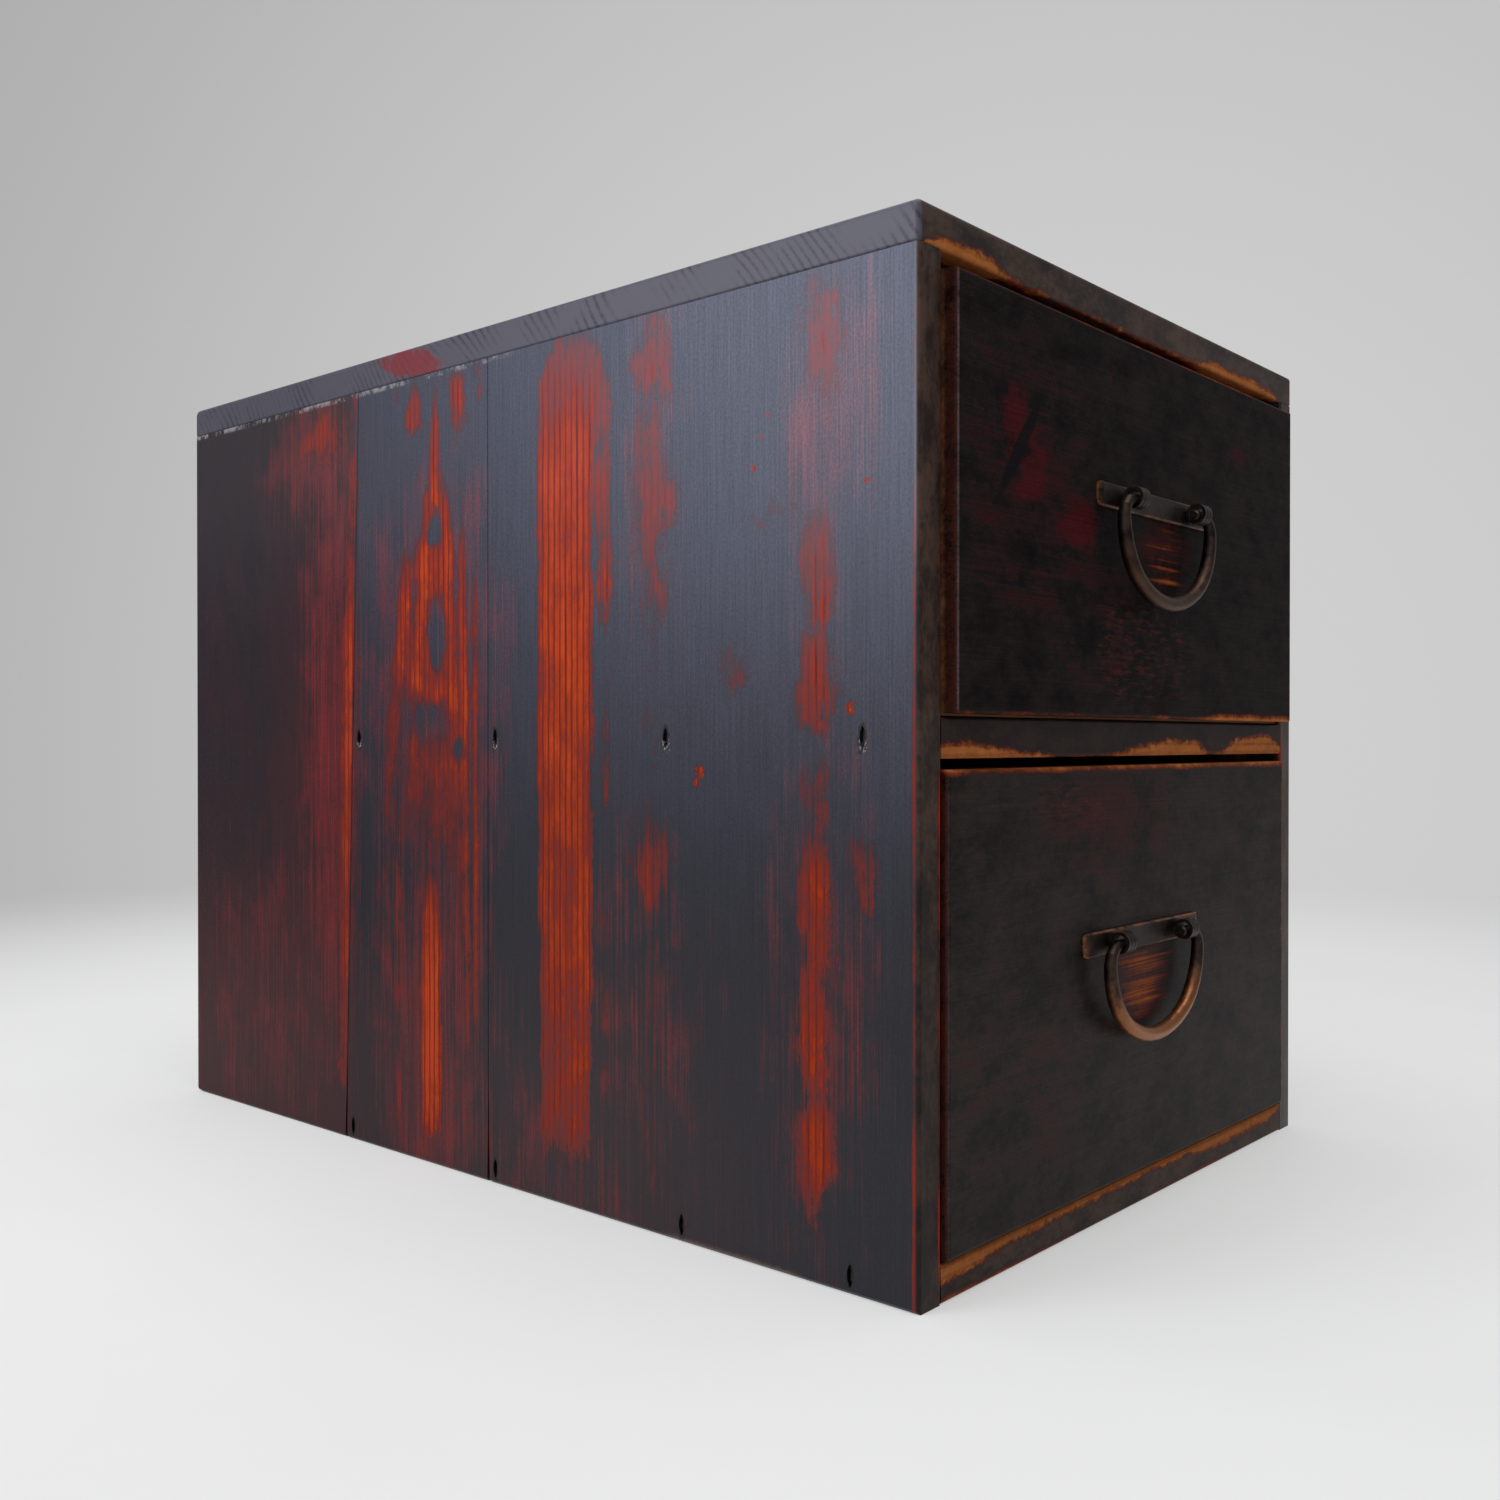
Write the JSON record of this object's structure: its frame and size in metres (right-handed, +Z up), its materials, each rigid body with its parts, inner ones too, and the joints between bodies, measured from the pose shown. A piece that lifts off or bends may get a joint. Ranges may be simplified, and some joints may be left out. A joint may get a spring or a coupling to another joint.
{
  "type": "small drawer cabinet",
  "caption": "Low, deep cabinet of nailed lacquered boards with drawers one above the other, each opened by a bail pull that swings in split-strip eyes.",
  "frame": {"origin": "on the floor, at the middle of the case's width and depth", "axes": "+Z up; -Y is the front, where the drawers open; +X is the right side for someone facing it"},
  "size_m": [0.304, 0.4654, 0.35],
  "materials": {
    "lacquered_wood": "worn dark lacquer, satin",
    "bare_wood": "bare aged softwood",
    "peg_wood": "bare split wood",
    "nail_iron": "rusted black",
    "pull_metal": "dark brown patina, rubbed"
  },
  "bodies": {
    "case": {"left_side_front_board": "lacquered_wood", "left_side_middle_board": "lacquered_wood", "left_side_rear_board": "lacquered_wood", "right_side_front_board": "lacquered_wood", "right_side_middle_board": "lacquered_wood", "right_side_rear_board": "lacquered_wood", "top_front_board": "lacquered_wood", "top_rear_board": "lacquered_wood", "shelf_front_board": "lacquered_wood", "shelf_rear_board": "lacquered_wood", "bottom_front_board": "lacquered_wood", "bottom_rear_board": "lacquered_wood", "back_upper_board": "lacquered_wood", "back_lower_board": "lacquered_wood", "left_side_nails": "nail_iron", "right_side_nails": "nail_iron", "top_nails": "nail_iron", "back_nails": "nail_iron"},
    "upper_drawer": {"upper_drawer_front": "lacquered_wood", "upper_drawer_left_side": "bare_wood", "upper_drawer_right_side": "bare_wood", "upper_drawer_back": "bare_wood", "upper_drawer_bottom_front_board": "bare_wood", "upper_drawer_bottom_rear_board": "bare_wood", "upper_drawer_corner_pegs": "peg_wood", "upper_drawer_bottom_pegs": "peg_wood", "upper_drawer_pull_plate": "pull_metal", "upper_drawer_left_eye": "pull_metal", "upper_drawer_right_eye": "pull_metal"},
    "upper_bail": {"upper_drawer_bail": "pull_metal"},
    "lower_drawer": {"lower_drawer_front": "lacquered_wood", "lower_drawer_left_side": "bare_wood", "lower_drawer_right_side": "bare_wood", "lower_drawer_back": "bare_wood", "lower_drawer_bottom_front_board": "bare_wood", "lower_drawer_bottom_rear_board": "bare_wood", "lower_drawer_corner_pegs": "peg_wood", "lower_drawer_bottom_pegs": "peg_wood", "lower_drawer_pull_plate": "pull_metal", "lower_drawer_left_eye": "pull_metal", "lower_drawer_right_eye": "pull_metal"},
    "lower_bail": {"lower_drawer_bail": "pull_metal"}
  },
  "joints": [
    {"name": "upper_drawer_slide", "type": "slide", "parent": "case", "child": "upper_drawer", "axis": [0, -1, 0], "range_m": [-0.0034, 0.3166]},
    {"name": "upper_bail_swing", "type": "hinge", "parent": "upper_drawer", "child": "upper_bail", "pos_m": [0, -0.2363, 0.26975], "axis": [-1, 0, 0], "range_deg": [-4, 175]},
    {"name": "lower_drawer_slide", "type": "slide", "parent": "case", "child": "lower_drawer", "axis": [0, -1, 0], "range_m": [0, 0.32]},
    {"name": "lower_bail_swing", "type": "hinge", "parent": "lower_drawer", "child": "lower_bail", "pos_m": [-0.0036, -0.2329, 0.1047], "axis": [-1, 0, 0], "range_deg": [-4, 175]}
  ]
}
